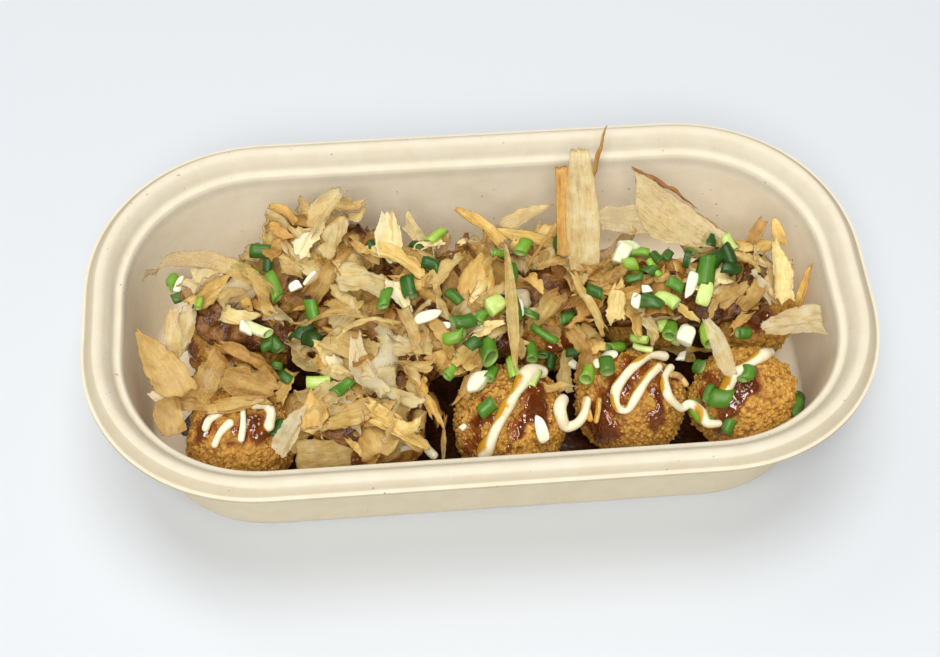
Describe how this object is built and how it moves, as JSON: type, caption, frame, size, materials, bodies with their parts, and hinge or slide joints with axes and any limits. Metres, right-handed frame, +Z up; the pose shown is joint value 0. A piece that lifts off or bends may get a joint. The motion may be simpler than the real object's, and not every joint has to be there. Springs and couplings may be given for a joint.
{
  "type": "takoyaki in a tray",
  "caption": "Breaded octopus balls in a deep rounded moulded-fibre tray, topped with dried fish flakes, spring onion, dark sauce and strands of mayonnaise.",
  "frame": {"origin": "middle of the tray's underside, at the middle of the object's footprint", "axes": "+X along the tray's long side, +Y towards the back long side, +Z up"},
  "size_m": [0.24, 0.131, 0.0597],
  "materials": {
    "moulded_fibre": "matte, unbleached pressed plant fibre",
    "breaded_crust": "rough fried breadcrumb crust",
    "fish_flakes": "thin dry translucent shavings",
    "mayonnaise": "glossy and smooth",
    "brown_sauce": "glossy, thin and dark",
    "spring_onion": "fresh, slightly waxy"
  },
  "bodies": {
    "root": {"tray": "moulded_fibre", "ball_1": "breaded_crust", "ball_2": "breaded_crust", "ball_3": "breaded_crust", "ball_4": "breaded_crust", "ball_5": "breaded_crust", "ball_6": "breaded_crust", "ball_7": "breaded_crust", "ball_8": "breaded_crust", "ball_9": "breaded_crust", "ball_10": "breaded_crust", "flake_heap": "fish_flakes", "flake_tall": "fish_flakes", "flake_sliver": "fish_flakes", "flake_broad": "fish_flakes", "flake_ribbon": "fish_flakes", "flake_left": "fish_flakes", "flake_left_low": "fish_flakes", "flake_left_back": "fish_flakes", "flake_right_fan": "fish_flakes", "flake_right_mid": "fish_flakes", "flake_right_back": "fish_flakes", "flake_right_end": "fish_flakes", "flake_pale": "fish_flakes", "flake_rear": "fish_flakes", "flake_curl": "fish_flakes", "flake_middle": "fish_flakes", "flake_wall": "fish_flakes", "flake_strip": "fish_flakes", "flake_front": "fish_flakes", "flake_blade": "fish_flakes", "flake_narrow": "fish_flakes", "mayo_1": "mayonnaise", "mayo_2": "mayonnaise", "mayo_3": "mayonnaise", "mayo_4": "mayonnaise", "mayo_5": "mayonnaise", "mayo_6": "mayonnaise", "mayo_7": "mayonnaise", "mayo_8": "mayonnaise", "mayo_9": "mayonnaise"}
  },
  "joints": []
}
